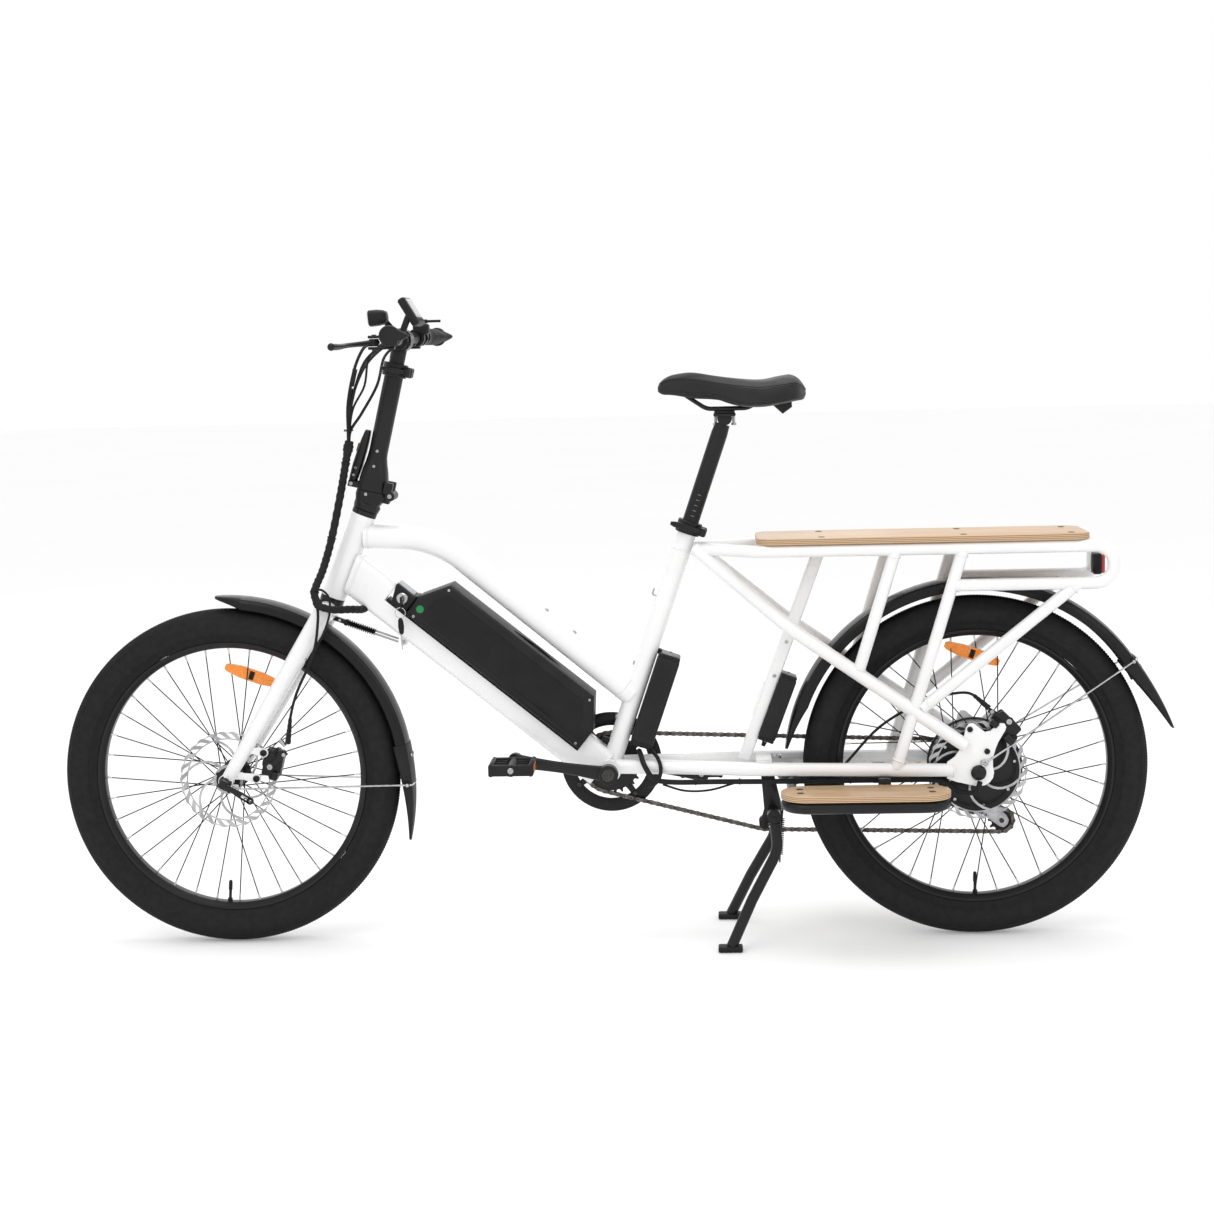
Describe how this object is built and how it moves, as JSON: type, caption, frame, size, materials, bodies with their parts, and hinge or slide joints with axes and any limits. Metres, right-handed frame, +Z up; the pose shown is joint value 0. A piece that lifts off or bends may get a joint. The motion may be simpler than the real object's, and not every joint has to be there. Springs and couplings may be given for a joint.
{
  "type": "long-tail cargo bicycle",
  "caption": "Long-tail electric cargo bicycle with a folding handlebar column, a wooden rear deck, footboards, a hub motor, a frame battery and a two-leg stand.",
  "frame": {"origin": "on the ground under the middle of the bicycle", "axes": "+Z up, -X the way the bicycle faces, +Y to the bicycle's right-hand (drive) side"},
  "size_m": [2.0424, 0.6474, 1.1847],
  "materials": {
    "white_paint": "gloss",
    "black_paint": "satin",
    "black_plastic": "satin",
    "rubber": "matt",
    "tyre_rubber": "matt",
    "steel": "brushed",
    "dark_steel": "oiled",
    "plywood": "clear varnish",
    "saddle_vinyl": "grained",
    "red_lens": "gloss",
    "black_anodised": "anodised"
  },
  "bodies": {
    "frame": {"head_tube": "white_paint", "top_tube": "white_paint", "down_tube": "white_paint", "seat_tube": "white_paint", "chainstays": "white_paint", "rack_rails": "white_paint", "rack_truss_left": "white_paint", "rack_truss_right": "white_paint", "deck_board": "plywood", "footboard_left": "plywood", "footboard_right": "plywood", "footboard_frame": "black_paint", "motor_controller": "black_plastic", "power_converter": "black_plastic", "battery_cradle": "black_plastic", "rear_mudguard": "black_plastic", "rear_light": "red_lens", "rear_caliper": "black_paint", "chain": "dark_steel", "derailleur": "steel", "rear_cables": "rubber", "seat_collar": "black_anodised", "steering_spring": "black_paint"},
    "steering": {"fork": "white_paint", "front_mudguard": "black_plastic", "front_caliper": "black_paint", "handlepost_base": "black_anodised", "steering_cables": "rubber"},
    "front_wheel_set": {"front_tyre": "tyre_rubber", "front_wheel": "black_paint"},
    "rear_wheel_set": {"rear_tyre": "tyre_rubber", "rear_wheel": "black_paint"},
    "freewheel": {"cassette": "steel"},
    "folding_column": {"handlepost": "black_anodised"},
    "column_latch": {"handlepost_latch": "black_paint"},
    "bars": {"handlebar_stem": "black_anodised", "handlebar": "black_anodised", "grip_left": "rubber", "grip_right": "rubber", "display": "black_plastic", "headlight": "black_plastic", "handlebar_cables": "rubber"},
    "column_clamp_lever": {"stem_clamp_lever": "black_paint"},
    "left_brake_lever": {"brake_lever_left": "black_paint"},
    "right_brake_lever": {"brake_lever_right": "black_paint"},
    "gear_lever": {"shifter_lever": "black_plastic"},
    "front_brake_arm": {"front_caliper_arm": "dark_steel"},
    "rear_brake_arm": {"rear_caliper_arm": "dark_steel"},
    "axle_lever": {"front_quick_release": "black_paint"},
    "cranks": {"crankset": "black_paint"},
    "left_pedal": {"pedal_left": "black_plastic"},
    "right_pedal": {"pedal_right": "black_plastic"},
    "upper_jockey_wheel": {"upper_pulley": "black_plastic"},
    "lower_jockey_wheel": {"lower_pulley": "black_plastic"},
    "stand": {"kickstand": "black_paint"},
    "seat": {"saddle": "saddle_vinyl", "seatpost": "black_anodised"},
    "seat_lever": {"seat_collar_lever": "black_anodised"},
    "battery_pack": {"battery": "black_plastic"},
    "lock_key": {"battery_key": "black_plastic"}
  },
  "joints": [
    {"name": "steering_turn", "type": "hinge", "parent": "frame", "child": "steering", "pos_m": [-0.4765, 0, 0.719], "axis": [0.3827, 0, 0.9239], "range_deg": [-45, 45], "stiffness_Nm_per_rad": 2},
    {"name": "front_wheel_spin", "type": "hinge", "parent": "steering", "child": "front_wheel_set", "pos_m": [-0.708, 0, 0.313], "axis": [0, -1, 0], "continuous": true},
    {"name": "rear_wheel_spin", "type": "hinge", "parent": "frame", "child": "rear_wheel_set", "pos_m": [0.661, 0, 0.313], "axis": [0, -1, 0], "continuous": true},
    {"name": "crank_spin", "type": "hinge", "parent": "frame", "child": "cranks", "pos_m": [-0.006, 0, 0.317], "axis": [0, -1, 0], "continuous": true},
    {"name": "cassette_spin", "type": "hinge", "parent": "frame", "child": "freewheel", "pos_m": [0.661, 0, 0.313], "axis": [0, -1, 0], "continuous": true},
    {"name": "upper_jockey_spin", "type": "hinge", "parent": "frame", "child": "upper_jockey_wheel", "pos_m": [0.664, 0.052, 0.235], "axis": [0, -1, 0], "continuous": true},
    {"name": "lower_jockey_spin", "type": "hinge", "parent": "frame", "child": "lower_jockey_wheel", "pos_m": [0.716, 0.052, 0.198], "axis": [0, -1, 0], "continuous": true},
    {"name": "left_pedal_spin", "type": "hinge", "parent": "cranks", "child": "left_pedal", "pos_m": [-0.17342, 0, 0.34652], "axis": [0, -1, 0], "continuous": true},
    {"name": "right_pedal_spin", "type": "hinge", "parent": "cranks", "child": "right_pedal", "pos_m": [0.16142, 0, 0.28748], "axis": [0, -1, 0], "continuous": true},
    {"name": "column_fold", "type": "hinge", "parent": "steering", "child": "folding_column", "pos_m": [-0.3935, 0, 0.827], "axis": [0, 1, 0], "range_deg": [0, 90]},
    {"name": "column_latch_open", "type": "hinge", "parent": "folding_column", "child": "column_latch", "pos_m": [-0.465, 0, 0.852], "axis": [0, -1, 0], "range_deg": [0, 100]},
    {"name": "bar_height", "type": "slide", "parent": "folding_column", "child": "bars", "axis": [0.2365, 0, 0.9716], "range_m": [0, 0.08]},
    {"name": "column_clamp_open", "type": "hinge", "parent": "folding_column", "child": "column_clamp_lever", "pos_m": [-0.35423, -0.022, 1.04923], "axis": [0.2365, 0, 0.9716], "range_deg": [0, 120]},
    {"name": "left_brake_pull", "type": "hinge", "parent": "bars", "child": "left_brake_lever", "pos_m": [-0.38951, -0.166, 1.10458], "axis": [0, 0, 1], "range_deg": [0, 22], "stiffness_Nm_per_rad": 1},
    {"name": "right_brake_pull", "type": "hinge", "parent": "bars", "child": "right_brake_lever", "pos_m": [-0.38951, 0.166, 1.10458], "axis": [0, 0, -1], "range_deg": [0, 22], "stiffness_Nm_per_rad": 1},
    {"name": "gear_lever_push", "type": "hinge", "parent": "bars", "child": "gear_lever", "pos_m": [-0.34551, 0.142, 1.13958], "axis": [0, 0, 1], "range_deg": [0, 25], "stiffness_Nm_per_rad": 0.3},
    {"name": "front_brake_arm_pull", "type": "hinge", "parent": "steering", "child": "front_brake_arm", "pos_m": [-0.625, 0, 0.34], "axis": [0, -1, 0], "range_deg": [0, 12]},
    {"name": "rear_brake_arm_pull", "type": "hinge", "parent": "frame", "child": "rear_brake_arm", "pos_m": [0.715, 0, 0.404], "axis": [0, 1, 0], "range_deg": [0, 12]},
    {"name": "axle_lever_open", "type": "hinge", "parent": "steering", "child": "axle_lever", "pos_m": [-0.708, -0.0885, 0.313], "axis": [-0.5331, 0, -0.8461], "range_deg": [0, 150]},
    {"name": "stand_fold", "type": "hinge", "parent": "frame", "child": "stand", "pos_m": [0.293, 0, 0.236], "axis": [0, -1, 0], "range_deg": [0, 100]},
    {"name": "seat_height", "type": "slide", "parent": "frame", "child": "seat", "axis": [0.3289, 0, 0.9444], "range_m": [-0.09, 0.06]},
    {"name": "seat_clamp_open", "type": "hinge", "parent": "frame", "child": "seat_lever", "pos_m": [0.1723, -0.022, 0.74995], "axis": [0.3289, 0, 0.9444], "range_deg": [0, 120]},
    {"name": "battery_out", "type": "slide", "parent": "frame", "child": "battery_pack", "axis": [0, -1, 0], "range_m": [0, 0.15]},
    {"name": "key_turn", "type": "hinge", "parent": "frame", "child": "lock_key", "pos_m": [-0.37549, 0, 0.64137], "axis": [0, -1, 0], "range_deg": [0, 90]}
  ],
  "couplings": [
    {"joint": "cassette_spin", "follows": "crank_spin", "ratio": 1.5556},
    {"joint": "lower_jockey_spin", "follows": "crank_spin", "ratio": 2.5455},
    {"joint": "upper_jockey_spin", "follows": "crank_spin", "ratio": -2.5455},
    {"joint": "front_brake_arm_pull", "follows": "left_brake_pull", "ratio": 0.5},
    {"joint": "rear_brake_arm_pull", "follows": "right_brake_pull", "ratio": 0.5}
  ]
}
